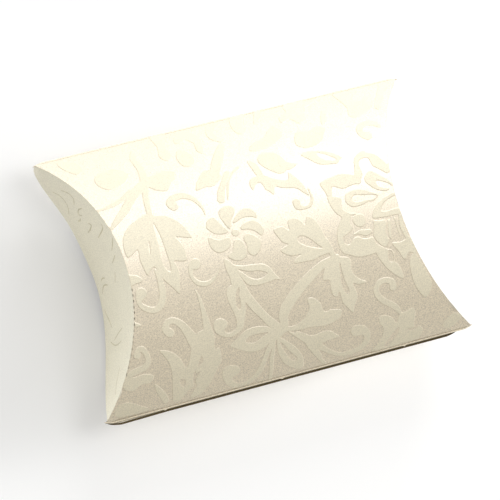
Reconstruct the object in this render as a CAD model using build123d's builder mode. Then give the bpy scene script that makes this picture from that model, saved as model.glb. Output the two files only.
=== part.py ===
"""Pillow-shaped keepsake box: one blank of card, folded at its creases and glued along the front."""

import os
from math import cos, radians, sin, sqrt

from build123d import *

os.makedirs("parts", exist_ok=True)

# Driving dimensions, in millimetres.
box_length = 93.4  # point to point, along X
box_width = 65.0  # front fold to back fold, along Y
crown_rise = 13.0  # outer face of a panel above the middle plane
card_thickness = 0.4
fold_run = 1.3  # width of a straight fold on either side of its line
fold_round = 0.12  # rounding of the straight folds' outer line
seam_setback = 0.35  # the lower panel's cut edge stops this far behind the front line
crease_gap = 0.14  # clear space along a curved crease, square to it
glue_film = 0.1
tab_width = 10.0  # glued strip behind the front seam
tab_inset = 9.0  # the strip stops this far inside the end points
tab_taper = 3.0
glue_margin = 1.2  # glue stops this far inside the strip's edges
outer_flap_end_trim = 1.5  # flap ends stop short of the box's points
outer_flap_drop = 10.1  # free edge below the points, along the flap
outer_flap_edge_radius = 250.0  # the free edge is slightly bowed
outer_flap_corner = 10.0
inner_flap_end_trim = 4.0
inner_flap_climb = 7.0  # free edge above the points, along the flap
inner_flap_corner = 8.0

# Angles, in degrees.
outer_flap_lean = 10.0  # outer flap stands slightly open
inner_flap_lean = 8.0  # inner flap leans into the box

# Sizes that follow from the ones above.
half_length = box_length / 2
half_width = box_width / 2
middle = crown_rise  # the box lies on its lower crown
crown_radius = (half_width**2 + crown_rise**2) / (2 * crown_rise)
axis_depth = crown_radius - crown_rise  # cylinder axis beyond the middle plane
inner_radius = crown_radius - card_thickness
glue_radius = inner_radius - glue_film
tab_radius = glue_radius - card_thickness
panel_span = box_width - 2 * fold_run
fold_middle = half_width - fold_run / 2
fold_inset = sqrt(crown_radius**2 - (half_width - fold_run) ** 2) - axis_depth
tab_middle = half_width - fold_run - tab_width / 2
tab_length = box_length - 2 * tab_inset
reach = box_width  # cutting prisms run past everything

# The curved creases lie in planes at 45 degrees through the box's end lines.
left_upper = Plane(origin=(-half_length, 0, middle), x_dir=(0, 1, 0), z_dir=(1, 0, -1))
left_lower = Plane(origin=(-half_length, 0, middle), x_dir=(0, -1, 0), z_dir=(1, 0, 1))
right_upper = Plane(origin=(half_length, 0, middle), x_dir=(0, -1, 0), z_dir=(-1, 0, -1))
right_lower = Plane(origin=(half_length, 0, middle), x_dir=(0, 1, 0), z_dir=(-1, 0, 1))
crease_centre = -sqrt(2) * axis_depth
crease_half_height = sqrt(2) * crown_radius
end_plane = Plane.YZ.offset(-half_length)

# Cross-sections along X.
with BuildSketch(end_plane) as top_section:
    with Locations((0, middle - axis_depth)):
        Circle(crown_radius)
        Circle(inner_radius, mode=Mode.SUBTRACT)
    with Locations((0, middle + crown_rise)):
        Rectangle(panel_span, 2 * crown_rise, mode=Mode.INTERSECT)

with BuildSketch(end_plane) as bottom_section:
    with Locations((0, middle + axis_depth)):
        Circle(crown_radius)
        Circle(inner_radius, mode=Mode.SUBTRACT)
    with Locations(((seam_setback - fold_run) / 2, middle - crown_rise)):
        Rectangle(box_width - seam_setback - fold_run, 2 * crown_rise, mode=Mode.INTERSECT)
    with Locations((0, middle - axis_depth)):
        Circle(inner_radius, mode=Mode.INTERSECT)

with BuildSketch(end_plane) as rear_fold_section:
    with Locations((0, middle - axis_depth)):
        Circle(crown_radius)
    with Locations((0, middle + axis_depth)):
        Circle(crown_radius, mode=Mode.INTERSECT)
    with Locations((fold_middle, middle)):
        Rectangle(fold_run, 2 * crown_rise, mode=Mode.INTERSECT)
    fillet(vertices().sort_by(Axis.X)[-1], radius=fold_round)

with BuildSketch(end_plane) as rear_fold_hollow:
    with Locations((0, middle - axis_depth)):
        Circle(inner_radius)
    with Locations((0, middle + axis_depth)):
        Circle(inner_radius, mode=Mode.INTERSECT)

with BuildSketch(end_plane) as front_fold_section:
    with Locations((0, middle - axis_depth)):
        Circle(crown_radius)
    with Locations((0, middle + axis_depth)):
        Circle(glue_radius, mode=Mode.INTERSECT)
    with Locations((-fold_middle, middle)):
        Rectangle(fold_run, 2 * crown_rise, mode=Mode.INTERSECT)
    fillet(vertices().sort_by(Axis.X)[0], radius=fold_round)

with BuildSketch(end_plane) as front_fold_hollow:
    with Locations((0, middle - axis_depth)):
        Circle(inner_radius)
    with Locations((0, middle + axis_depth)):
        Circle(tab_radius, mode=Mode.INTERSECT)

with BuildSketch(end_plane) as tab_section:
    with Locations((0, middle + axis_depth)):
        Circle(glue_radius)
        Circle(tab_radius, mode=Mode.SUBTRACT)
    with Locations((0, middle - crown_rise)):
        Rectangle(box_width, 2 * crown_rise, mode=Mode.INTERSECT)

with BuildSketch(end_plane) as glue_section:
    with Locations((0, middle + axis_depth)):
        Circle(inner_radius)
        Circle(glue_radius, mode=Mode.SUBTRACT)
    with Locations((0, middle - crown_rise)):
        Rectangle(box_width, 2 * crown_rise, mode=Mode.INTERSECT)

# Everything between the curved creases and the end points, square to each crease plane.
with BuildSketch(left_upper.offset(-reach), right_upper.offset(-reach)) as upper_ends:
    with Locations((0, crease_centre)):
        Ellipse(crown_radius, crease_half_height)

with BuildSketch(left_lower.offset(-reach), right_lower.offset(-reach)) as lower_ends:
    with Locations((0, crease_centre)):
        Ellipse(crown_radius, crease_half_height)

# Plans of the straight folds, which narrow inwards to meet the curved creases.
with BuildSketch(Plane.XY) as rear_fold_plan:
    Polygon(
        (half_length + fold_inset, half_width + fold_run),
        (-half_length - fold_inset, half_width + fold_run),
        (2 * fold_inset - half_length, half_width - 2 * fold_run),
        (half_length - 2 * fold_inset, half_width - 2 * fold_run),
        align=None,
    )

with BuildSketch(Plane.XY) as front_fold_plan:
    add(mirror(rear_fold_plan.sketch, about=Plane.XZ))

with BuildSketch(Plane.XY) as tab_plan:
    with Locations((0, -tab_middle)):
        Rectangle(tab_length, tab_width)
    chamfer(vertices().group_by(Axis.Y)[-1], length=tab_taper)

with BuildSketch(Plane.XY) as glue_plan:
    with Locations((0, -tab_middle)):
        Rectangle(tab_length - 2 * tab_taper - 2 * glue_margin, tab_width - 2 * glue_margin)

with BuildPart() as top_panel:
    extrude(top_section.sketch, amount=box_length)
    extrude(upper_ends.sketch, amount=2 * reach, mode=Mode.SUBTRACT)
top_panel.part.label = "top_panel"

with BuildPart() as bottom_panel:
    extrude(bottom_section.sketch, amount=box_length)
    extrude(lower_ends.sketch, amount=2 * reach, mode=Mode.SUBTRACT)
bottom_panel.part.label = "bottom_panel"

with BuildPart() as rear_fold:
    extrude(rear_fold_section.sketch, amount=box_length)
    extrude(rear_fold_hollow.sketch, amount=box_length, mode=Mode.SUBTRACT)
    extrude(rear_fold_plan.sketch, amount=reach, mode=Mode.INTERSECT)
rear_fold.part.label = "rear_fold"

with BuildPart() as front_fold:
    extrude(front_fold_section.sketch, amount=box_length)
    extrude(front_fold_hollow.sketch, amount=box_length, mode=Mode.SUBTRACT)
    extrude(front_fold_plan.sketch, amount=reach, mode=Mode.INTERSECT)
front_fold.part.label = "front_fold"

with BuildPart() as glue_tab:
    extrude(tab_section.sketch, amount=box_length)
    extrude(tab_plan.sketch, amount=reach, mode=Mode.INTERSECT)
glue_tab.part.label = "glue_tab"

with BuildPart() as glue_line:
    extrude(glue_section.sketch, amount=box_length)
    extrude(glue_plan.sketch, amount=reach, mode=Mode.INTERSECT)
glue_line.part.label = "glue_line"

# Outer flaps: hinged on the top panel's curved creases, leaning out at the foot.
outer_cos = cos(radians(outer_flap_lean))
outer_sin = sin(radians(outer_flap_lean))
outer_rise = crown_rise * (outer_cos - outer_sin)
outer_radius = (half_width**2 + outer_rise**2) / (2 * outer_rise)
outer_half_span = half_width - outer_flap_end_trim
outer_outline_height = outer_flap_drop + 2 * crown_rise

left_outer_across = Plane(
    origin=(-half_length, 0, middle),
    x_dir=(outer_cos, 0, -outer_sin),
    z_dir=(outer_sin, 0, outer_cos),
)
left_outer_face = Plane(
    origin=(-half_length, 0, middle),
    x_dir=(0, 1, 0),
    z_dir=(outer_cos, 0, -outer_sin),
)

with BuildSketch(left_outer_across.offset(-box_width)) as outer_curve:
    with Locations((outer_rise - outer_radius, 0)):
        Circle(outer_radius + card_thickness)
        Circle(outer_radius, mode=Mode.SUBTRACT)

with BuildSketch(left_upper) as outer_crease:
    with Locations((0, crease_centre - crease_gap)):
        Ellipse(crown_radius, crease_half_height)

with BuildSketch(left_outer_face) as outer_outline:
    with Locations((0, outer_outline_height / 2 - outer_flap_drop)):
        Rectangle(2 * outer_half_span, outer_outline_height)
    with Locations((0, outer_flap_edge_radius - outer_flap_drop)):
        Circle(outer_flap_edge_radius, mode=Mode.INTERSECT)
    fillet(vertices().group_by(Axis.Y)[0], radius=outer_flap_corner)

with BuildPart() as left_outer_flap:
    extrude(outer_curve.sketch, amount=2 * box_width)
    extrude(outer_crease.sketch, amount=reach, mode=Mode.INTERSECT)
    extrude(outer_outline.sketch, amount=reach, mode=Mode.INTERSECT)
left_outer_flap.part.label = "left_outer_flap"

with BuildPart() as right_outer_flap:
    add(mirror(left_outer_flap.part, about=Plane.YZ))
right_outer_flap.part.label = "right_outer_flap"

# Inner flaps: hinged on the lower panel's curved creases, behind the outer ones.
inner_cos = cos(radians(inner_flap_lean))
inner_sin = sin(radians(inner_flap_lean))
inner_rise = crown_rise * (inner_cos + inner_sin)
inner_flap_radius = (half_width**2 + inner_rise**2) / (2 * inner_rise)
inner_half_span = half_width - inner_flap_end_trim
inner_outline_height = inner_flap_climb + 2 * crown_rise

left_inner_across = Plane(
    origin=(-half_length, 0, middle),
    x_dir=(inner_cos, 0, -inner_sin),
    z_dir=(inner_sin, 0, inner_cos),
)
left_inner_face = Plane(
    origin=(-half_length, 0, middle),
    x_dir=(0, 1, 0),
    z_dir=(inner_cos, 0, -inner_sin),
)

with BuildSketch(left_inner_across.offset(-box_width)) as inner_curve:
    with Locations((inner_rise - inner_flap_radius, 0)):
        Circle(inner_flap_radius + card_thickness)
        Circle(inner_flap_radius, mode=Mode.SUBTRACT)

with BuildSketch(left_lower) as inner_crease:
    with Locations((0, crease_centre - crease_gap)):
        Ellipse(crown_radius, crease_half_height)

with BuildSketch(left_inner_face) as inner_outline:
    with Locations((0, inner_flap_climb - inner_outline_height / 2)):
        Rectangle(2 * inner_half_span, inner_outline_height)
    fillet(vertices().group_by(Axis.Y)[-1], radius=inner_flap_corner)

with BuildPart() as left_inner_flap:
    extrude(inner_curve.sketch, amount=2 * box_width)
    extrude(inner_crease.sketch, amount=reach, mode=Mode.INTERSECT)
    extrude(inner_outline.sketch, amount=reach, mode=Mode.INTERSECT)
left_inner_flap.part.label = "left_inner_flap"

with BuildPart() as right_inner_flap:
    add(mirror(left_inner_flap.part, about=Plane.YZ))
right_inner_flap.part.label = "right_inner_flap"

export_step(top_panel.part, "parts/top_panel.step")
export_step(bottom_panel.part, "parts/bottom_panel.step")
export_step(rear_fold.part, "parts/rear_fold.step")
export_step(front_fold.part, "parts/front_fold.step")
export_step(glue_tab.part, "parts/glue_tab.step")
export_step(glue_line.part, "parts/glue_line.step")
export_step(left_outer_flap.part, "parts/left_outer_flap.step")
export_step(right_outer_flap.part, "parts/right_outer_flap.step")
export_step(left_inner_flap.part, "parts/left_inner_flap.step")
export_step(right_inner_flap.part, "parts/right_inner_flap.step")
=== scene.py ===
"""Looks of the pillow-shaped keepsake box: one blank of pearly card with a raised scroll pattern."""

from math import cos, radians, sin, sqrt

import bpy
import numpy as np
from mathutils import Matrix, Vector
from mathutils.geometry import delaunay_2d_cdt
from mathutils.kdtree import KDTree


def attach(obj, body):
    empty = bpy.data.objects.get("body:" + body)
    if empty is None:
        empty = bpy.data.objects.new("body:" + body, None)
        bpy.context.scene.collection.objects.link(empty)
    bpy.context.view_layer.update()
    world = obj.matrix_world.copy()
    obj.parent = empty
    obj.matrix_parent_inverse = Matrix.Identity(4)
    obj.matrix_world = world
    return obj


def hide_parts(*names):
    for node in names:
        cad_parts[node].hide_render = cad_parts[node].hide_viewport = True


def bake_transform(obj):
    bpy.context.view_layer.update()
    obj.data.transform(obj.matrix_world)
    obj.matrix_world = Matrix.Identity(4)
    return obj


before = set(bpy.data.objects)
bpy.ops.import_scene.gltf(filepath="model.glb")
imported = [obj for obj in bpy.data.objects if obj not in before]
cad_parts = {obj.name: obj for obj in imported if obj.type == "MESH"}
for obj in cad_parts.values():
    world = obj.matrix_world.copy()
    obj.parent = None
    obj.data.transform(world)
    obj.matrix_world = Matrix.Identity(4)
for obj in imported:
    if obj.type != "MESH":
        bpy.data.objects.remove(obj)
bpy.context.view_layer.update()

# Lengths below are in millimetres, and a mesh gets them in metres.
MM = 0.001

# The box, whose two panels are each part of a cylinder.
HALF_LENGTH = 46.7
HALF_WIDTH = 32.5
CROWN_RISE = 13.0
CARD = 0.4
MIDDLE = CROWN_RISE
CROWN_RADIUS = (HALF_WIDTH**2 + CROWN_RISE**2) / (2 * CROWN_RISE)
AXIS_DEPTH = CROWN_RADIUS - CROWN_RISE

# The straight folds, measured from the middle of the width.
REAR_SCORE = 32.05  # the panels stop here
REAR_LINE = 32.42  # and the fold's bead stands out to here
FRONT_SCORE = 32.1
FRONT_LINE = 32.45
FOLD_FOOT = 0.28  # the front bead ends this far under the middle plane
BEAD_LAP = 0.03  # a bead begins this far past its score
REAR_BEAD_WALL = 0.25  # the rear bead's inner side begins this far before its score
REAR_BEAD_HOLLOW = 0.6  # and is drawn towards a line this far inside the fold's own
FRONT_BEAD_INSIDE = ((0.35, -0.15), (0.1, 0.0), (0.2, 0.02))  # in from the score, up from the middle
REAR_TURN_POINTS = 11
FRONT_TURN_POINTS = 9
INNER_TURN_POINTS = 5
END_TAPER = 2.4  # a bead draws in over this length at the points
END_DEPTH = 0.45  # and ends this far inside the front score's line

# The lower panel's cut edge, which shows under the front fold.
LOWER_CUT = 33.15  # measured from the middle of the width
CUT_SLANT = 0.65  # the blunt knife left it slanting by this much
BARE_ENDS = (0.9, 4.0)  # it doesn't show this near the left and the right point
LIP_TAPER = 3.0  # it draws in over this length before them
SHADE_PAINTED_PAST = 31.5  # its rim is painted dark as shade only in front of this
LOWER_DROOP = 0.8  # it springs this far away from the fold
DROOP_REACH = 7.0
LOWER_CUT_PEEK = 0.3  # it shows this much more at the left point
PEEK_LENGTH = 15.0

# Flaps, from the line through the points at each end.
CREASE_GAP = 0.05
OUTER_LEAN = radians(10.0)
INNER_LEAN = radians(8.0)
INNER_CLIMB = 7.0
INNER_HALF_SPAN = 28.5
INNER_CORNER = 8.0
CORNER_POINTS = 16

# The embossing.
RELIEF = 0.08
FLAP_RELIEF = 0.05
BEAD_DROP = RELIEF  # a bead lies level with the card's ground
SLOPE_LEVELS = (0.1, 0.03, -0.02, -0.08, -0.13, -0.21)  # distance to the drawn outline, outside positive
SLOPE_SHARES = (0.0, 0.0, 0.3, 0.85, 1.0, 1.0)  # how much of the relief is reached there
MATTE_FROM = (-0.13, -0.07)  # matte up to the first distance, and pearly from the second on
FAR = 0.6  # further from the pattern than this, the distance doesn't matter

# How a sheet of card is divided, and its cut rim.
SAMPLE_STEP = 0.12
OUTLINE_STEP = 0.24
FILL_STEP = 1.1
LINING_STEP = 1.6
BORDER_STEP = 0.325
RIM_STEP = 0.1
ROW_SHARE = 0.87  # rows of staggered points lie this much closer than the points of a row
RIM_ROUND = 0.06
CLEAR_OF_RIM = 0.14
CLEAR_OF_SLOPE = 0.3
LEAST_COSINE = 0.6  # a sharp corner's inset is stretched only as far as this allows
MERGE_WITHIN = 1e-5
INSIDE_ONLY = 1  # the kind of triangles that the division is asked for
TINY = 1e-12  # keeps a division by a length of zero from failing
SMOOTH_ANGLE = radians(40)
FACE, RIM, LINING, PAINTED_SHADE_RIM = range(4)  # the order of a sheet's materials, the last a rim painted dark as shade

# Marks of the die and of wear.
NICKS = (-31.8, -2.6, 28.7)  # where nicks held the blank in its sheet, along the front fold
NICK_RISE = 0.3
NICK_HALF = 0.5
NICK_FROM = 0.1  # only what stands this far past the score rises
TORN_SCORE = (-23.6, -4.6)  # here the cuts of the left crease gape
TORN_GAPE = 0.17
TORN_PITCH = 4 * BORDER_STEP
SCUFF_AT = -26.8  # a worn place on the left crease
SCUFF_FLAT = 0.2
SCUFF_FADE = 1.0
SCUFF_SIZE = 0.35

RAISED_LEAVES = {
    "pinwheel_petal_1": (
        (-9.0, 6.9), (-8.8, 8.1), (-8.1, 8.8), (-7.1, 9.2), (-5.9, 9.1), (-5.1, 8.5), (-5.0, 7.7),
        (-5.5, 6.7), (-6.3, 5.8), (-6.7, 4.9), (-7.1, 3.8), (-7.6, 3.5), (-8.1, 4.3), (-8.6, 5.7),
    ),
    "pinwheel_petal_2": (
        (-6.4, 4.6), (-5.5, 5.8), (-4.2, 6.9), (-2.7, 7.5), (-1.2, 7.0), (-0.4, 5.7), (-0.5, 4.5),
        (-1.8, 5.1), (-3.3, 5.3), (-4.5, 5.1), (-5.5, 4.7),
    ),
    "pinwheel_petal_3": (
        (-5.0, 3.0), (-4.1, 3.7), (-2.8, 4.2), (-1.4, 4.1), (-0.3, 3.1), (0.3, 1.8), (0.1, 0.7),
        (-0.6, 0.0), (-1.3, 0.8), (-2.1, 1.6), (-3.5, 2.3), (-4.6, 2.4),
    ),
    "pinwheel_petal_4": (
        (-4.8, 0.8), (-4.0, 1.3), (-2.9, 0.9), (-1.8, 0.0), (-1.1, -1.2), (-1.5, -2.6), (-2.4, -3.7),
        (-3.5, -4.2), (-4.5, -3.7), (-4.9, -2.5), (-4.7, -1.2), (-5.0, -0.2),
    ),
    "pinwheel_petal_5": (
        (-7.1, 0.5), (-6.1, 0.5), (-5.3, -0.4), (-5.0, -1.8), (-5.2, -3.4), (-6.1, -4.3), (-7.5, -4.5),
        (-8.8, -4.0), (-9.8, -3.0), (-9.4, -2.4), (-8.4, -1.9), (-7.9, -0.8), (-7.6, 0.0),
    ),
    "pinwheel_petal_6": (
        (-13.1, 2.5), (-12.4, 2.6), (-11.7, 1.9), (-10.5, 1.4), (-9.1, 1.6), (-8.3, 1.5), (-8.1, 0.5),
        (-8.5, -0.5), (-9.4, -1.2), (-10.8, -1.6), (-12.1, -1.3), (-13.0, -0.2), (-13.3, 1.3),
    ),
    "pinwheel_petal_7": (
        (-12.7, 5.7), (-12.1, 6.6), (-11.0, 7.2), (-10.1, 6.9), (-9.7, 6.0), (-9.0, 4.7), (-8.3, 3.7),
        (-8.1, 2.8), (-9.5, 2.6), (-11.0, 3.0), (-12.1, 3.9), (-12.8, 4.9),
    ),
    "pinwheel_heart": (
        (-7.4, 2.2), (-7.1, 2.9), (-6.5, 3.1), (-5.8, 2.8), (-5.5, 2.2), (-5.8, 1.6), (-6.5, 1.3),
        (-7.1, 1.6),
    ),
    "leaf_above": (
        (-12.2, 14.9), (-11.7, 16.5), (-10.8, 17.8), (-9.2, 19.5), (-7.5, 19.6), (-6.2, 18.6),
        (-5.1, 17.1), (-6.7, 15.7), (-7.9, 15.0), (-9.9, 15.2),
    ),
    "scroll_leaf": (
        (0.8, 11.4), (0.5, 13.1), (1.2, 14.4), (2.4, 14.7), (3.8, 15.3), (5.3, 14.1), (6.9, 12.9),
        (8.6, 12.1), (9.9, 12.0), (10.4, 13.7), (11.2, 13.0), (12.1, 11.5), (12.9, 9.5), (13.5, 6.7),
        (12.4, 7.6), (11.3, 8.9), (10.2, 9.5), (8.6, 9.9), (7.3, 10.4), (6.3, 11.0), (5.8, 10.2),
        (5.3, 9.0), (4.4, 10.2), (3.8, 10.7), (3.4, 12.5), (2.6, 13.0), (1.7, 12.4),
    ),
    "upper_leaf": (
        (4.5, 18.8), (5.3, 16.8), (6.8, 15.1), (8.3, 14.0), (9.6, 14.0), (10.4, 14.5), (11.4, 14.4),
        (13.1, 15.4), (11.0, 16.8), (10.3, 18.6), (9.2, 20.0), (7.5, 20.7), (5.6, 20.6),
    ),
    "short_stalk": (
        (2.0, 19.5), (3.4, 19.0), (4.2, 17.0), (4.5, 14.9), (3.0, 14.9), (2.4, 17.0),
    ),
    "eye_leaf": (
        (15.0, 17.6), (16.2, 18.0), (18.5, 17.8), (20.7, 17.1), (22.7, 15.8), (24.3, 14.2),
        (23.5, 13.7), (22.6, 12.9), (20.9, 13.2), (18.9, 13.6), (17.5, 14.6), (16.2, 16.1),
    ),
    "lobed_leaf": (
        (2.5, 0.6), (3.4, 0.9), (4.8, 0.9), (5.4, 0.3), (6.2, -0.3), (6.3, 1.2), (6.7, 2.0),
        (7.7, 2.3), (8.9, 1.8), (9.8, 0.7), (10.2, -0.1), (10.7, 0.8), (11.3, 1.8), (12.3, 1.3),
        (13.3, -0.3), (13.9, -2.1), (14.2, -4.0), (14.9, -6.2), (14.9, -7.7), (13.1, -8.1),
        (11.6, -8.3), (10.1, -8.7), (8.2, -8.6), (5.5, -8.4), (5.3, -7.7), (6.4, -7.0), (7.4, -6.7),
        (6.2, -6.6), (4.9, -6.4), (3.7, -5.7), (2.8, -4.6), (3.8, -4.0), (5.0, -3.6), (3.8, -2.8),
        (3.1, -1.4), (2.6, -0.2),
    ),
    "pinwheel_leaf": (
        (-10.3, -3.5), (-9.0, -5.0), (-7.1, -5.8), (-4.5, -6.1), (-2.1, -6.6), (-0.7, -7.8),
        (0.1, -9.5), (1.1, -11.2), (-0.1, -10.9), (-1.8, -11.1), (-4.5, -11.2), (-6.6, -10.7),
        (-7.6, -9.3), (-8.6, -7.2), (-9.6, -5.5),
    ),
    "trunk": (
        (-11.0, -3.5), (-11.1, -5.8), (-10.7, -7.8), (-10.6, -9.8), (-8.4, -14.5), (-7.1, -16.9),
        (-5.5, -19.2), (-3.6, -21.9), (-1.1, -21.9), (-2.1, -20.4), (-3.8, -18.2), (-5.6, -15.0),
        (-7.0, -12.0), (-7.6, -9.7), (-8.5, -7.2), (-9.0, -5.2), (-10.1, -3.5),
    ),
    "j_hook": (
        (-10.3, -9.6), (-11.6, -9.8), (-12.3, -10.7), (-12.5, -12.2), (-12.1, -14.5), (-11.6, -16.8),
        (-11.5, -18.5), (-11.8, -19.6), (-12.5, -20.2), (-13.7, -20.5), (-14.5, -20.1), (-14.6, -19.4),
        (-14.0, -18.9), (-13.6, -18.1), (-14.1, -17.1), (-15.4, -16.5), (-16.7, -16.9), (-17.2, -18.1),
        (-17.0, -19.4), (-16.0, -20.6), (-14.5, -21.5), (-13.0, -21.6), (-11.2, -21.0), (-10.0, -20.0),
        (-9.4, -18.5), (-8.7, -16.5), (-8.4, -14.3), (-8.1, -12.5), (-8.0, -10.2),
    ),
    "bow_left": (
        (-14.2, -23.8), (-13.4, -23.1), (-11.9, -22.2), (-10.4, -21.2), (-8.7, -20.7), (-6.7, -20.7),
        (-4.8, -21.2), (-3.3, -21.9), (-1.8, -21.7), (-0.5, -22.5), (-0.1, -23.5), (-1.5, -24.8),
        (-3.1, -25.3), (-4.5, -25.5), (-5.5, -26.2), (-6.7, -26.7), (-8.4, -26.8), (-10.0, -26.4),
        (-11.7, -25.5), (-13.2, -24.5),
    ),
    "bow_lower_scroll": (
        (-3.1, -24.8), (-4.7, -25.6), (-6.0, -27.5), (-7.1, -29.5), (-8.4, -31.6), (-10.0, -33.1),
        (-11.7, -33.9), (-13.2, -34.0), (-14.4, -33.2), (-14.8, -32.2), (-13.8, -31.7), (-12.8, -31.0),
        (-12.6, -30.0), (-13.5, -29.0), (-15.4, -28.6), (-16.7, -29.2), (-17.1, -30.7), (-16.9, -32.4),
        (-16.0, -33.9), (-14.7, -35.0), (-12.7, -35.4), (-10.7, -34.9), (-8.5, -33.7), (-7.0, -32.1),
        (-5.8, -29.8), (-4.7, -27.8), (-3.5, -26.2),
    ),
    "bow_hanging_leaf": (
        (-2.6, -24.8), (-1.3, -25.2), (0.3, -26.8), (1.7, -28.5), (2.8, -30.5), (3.2, -32.5),
        (2.8, -34.3), (1.7, -34.7), (0.2, -33.7), (-1.3, -32.4), (-2.3, -30.7), (-2.8, -28.8),
        (-2.9, -26.8),
    ),
    "bow_right_upper": (
        (-0.7, -22.2), (1.2, -22.8), (3.2, -22.6), (5.2, -21.3), (6.4, -19.5), (6.3, -17.7),
        (6.8, -17.1), (8.1, -17.5), (9.4, -19.1), (9.7, -20.8), (10.4, -21.5), (11.8, -21.3),
        (14.2, -22.1), (13.7, -23.5), (12.5, -24.4), (10.1, -24.9), (8.6, -24.8), (6.2, -24.4),
        (3.2, -24.3), (1.2, -24.0), (-0.3, -23.8),
    ),
    "bow_right_lower": (
        (0.2, -23.8), (2.2, -24.9), (4.5, -26.2), (6.7, -26.5), (8.9, -26.2), (10.5, -26.4),
        (11.8, -27.5), (12.7, -28.7), (11.2, -28.8), (9.2, -29.0), (7.0, -29.4), (4.8, -28.5),
        (2.8, -26.7),
    ),
    "trident": (
        (13.1, -9.9), (11.8, -11.8), (11.1, -13.9), (12.6, -14.3), (12.5, -16.0), (12.7, -18.0),
        (13.7, -18.7), (14.4, -17.7), (14.6, -19.5), (14.9, -20.8), (15.9, -22.2), (16.9, -23.6),
        (17.5, -22.0), (18.5, -20.4), (18.7, -18.9), (18.2, -16.5), (19.5, -17.1), (21.6, -16.9),
        (19.8, -15.6), (18.7, -14.1), (18.5, -12.8), (18.8, -11.1), (18.3, -10.1), (16.9, -9.6),
        (15.1, -9.3),
    ),
    "flower_crown": (
        (16.8, 8.9), (18.7, 9.6), (21.0, 10.0), (22.9, 10.0), (25.0, 9.2), (25.6, 8.9), (26.2, 10.5),
        (26.6, 12.2), (27.4, 13.5), (28.9, 14.4), (29.8, 14.5), (30.8, 13.7), (32.3, 12.8),
        (33.2, 11.5), (33.9, 10.2), (34.5, 9.1), (34.3, 7.8), (33.5, 7.3), (32.6, 8.1), (31.6, 9.1),
        (30.7, 10.0), (30.5, 11.2), (30.2, 12.4), (29.1, 12.6), (28.0, 12.2), (27.5, 11.2), (27.6, 10.0),
        (27.6, 8.6), (26.9, 7.6), (26.3, 6.4), (25.0, 6.6), (23.7, 6.5), (22.0, 6.2), (20.7, 6.8),
        (19.6, 7.4), (19.0, 6.7), (18.7, 5.2), (17.7, 5.1), (17.3, 6.7),
    ),
    "flower_left": (
        (17.4, 4.9), (18.4, 5.1), (19.7, 4.7), (20.6, 4.0), (20.3, 2.9), (20.1, 1.7), (20.7, 0.7),
        (21.7, 0.0), (23.0, -0.3), (23.0, -0.7), (21.0, -0.6), (20.3, -1.2), (19.4, -0.9),
        (19.2, -0.2), (18.5, 0.5), (17.7, 2.4),
    ),
    "flower_eye": (
        (21.6, 2.4), (21.5, 3.7), (22.2, 4.8), (24.3, 5.3), (26.3, 4.9), (28.3, 3.7), (29.7, 2.7),
        (28.2, 1.5), (27.0, 1.6), (24.7, 1.2), (22.7, 1.3),
    ),
    "flower_inner": (
        (27.6, 6.6), (27.9, 7.9), (29.2, 8.9), (30.3, 8.6), (31.5, 7.4), (32.6, 6.3), (33.4, 5.3),
        (33.7, 4.1), (33.1, 3.6), (31.9, 3.1), (30.6, 3.5), (29.2, 4.4), (28.2, 5.6),
    ),
    "flower_right_eye": (
        (26.7, -2.5), (27.3, -0.9), (28.5, 0.4), (30.0, 1.3), (31.6, 1.9), (34.2, 2.0), (34.3, -2.7),
        (31.3, -3.0), (29.0, -2.9),
    ),
    "flower_round": (
        (21.7, -2.2), (22.1, -1.1), (23.2, -0.7), (24.3, -0.9), (24.9, -2.0), (24.7, -3.2),
        (23.6, -3.9), (22.4, -3.5),
    ),
    "flower_lower_left": (
        (19.3, -0.8), (18.1, -2.2), (17.1, -4.2), (16.8, -6.5), (17.3, -8.7), (19.1, -9.8),
        (20.8, -10.7), (23.1, -10.9), (25.3, -10.7), (26.3, -9.8), (25.9, -8.3), (25.4, -6.8),
        (24.3, -6.9), (23.0, -6.6), (21.9, -5.9), (20.8, -6.1), (19.8, -7.0), (19.0, -7.2),
        (18.4, -6.5), (18.3, -5.4), (19.1, -4.9), (20.4, -4.4), (21.3, -3.6), (21.0, -2.2),
        (21.7, -0.8), (20.7, -0.4),
    ),
    "flower_lower_bar": (
        (20.8, -5.3), (21.8, -4.8), (23.0, -4.5), (24.3, -4.8), (25.1, -4.8), (25.7, -5.6),
        (24.8, -6.1), (23.7, -6.2), (22.3, -5.4),
    ),
    "stamen_base": (
        (26.7, -3.2), (28.0, -3.5), (29.3, -3.6), (29.7, -4.5), (28.9, -6.5), (29.2, -8.4),
        (28.7, -9.4), (27.7, -9.9), (26.7, -8.9), (25.9, -7.5), (25.7, -6.5), (26.3, -4.8),
    ),
    "tail_leaf": (
        (25.3, -11.0), (25.4, -9.5), (25.3, -6.8), (26.0, -8.5), (27.1, -9.6), (28.3, -10.5),
        (29.2, -10.9), (29.7, -12.2), (29.4, -13.8), (30.1, -14.7), (30.7, -16.7), (30.7, -18.4),
        (29.3, -17.6), (27.5, -15.6), (26.2, -13.4),
    ),
    "tulip": (
        (-32.9, 2.8), (-33.1, 4.4), (-32.9, 6.4), (-32.1, 8.2), (-30.7, 9.7), (-29.0, 10.8),
        (-27.1, 11.6), (-25.1, 12.0), (-23.3, 11.0), (-21.5, 10.6), (-19.8, 9.4), (-18.5, 7.9),
        (-17.3, 5.7), (-16.8, 3.7), (-18.5, 4.1), (-20.5, 4.7), (-20.0, 3.7), (-19.4, 2.2),
        (-19.2, 0.2), (-19.5, -1.3), (-21.0, -1.2), (-22.4, -0.8), (-22.0, -2.5), (-22.0, -4.2),
        (-22.4, -5.8), (-23.0, -8.2), (-23.4, -8.5), (-24.5, -6.7), (-25.7, -5.0), (-26.7, -3.2),
        (-27.3, -1.0), (-28.5, -1.7), (-29.4, -2.6), (-29.9, -0.8), (-30.2, 1.5), (-30.0, 3.9),
        (-31.7, 3.0),
    ),
    "edge_leaf": (
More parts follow.
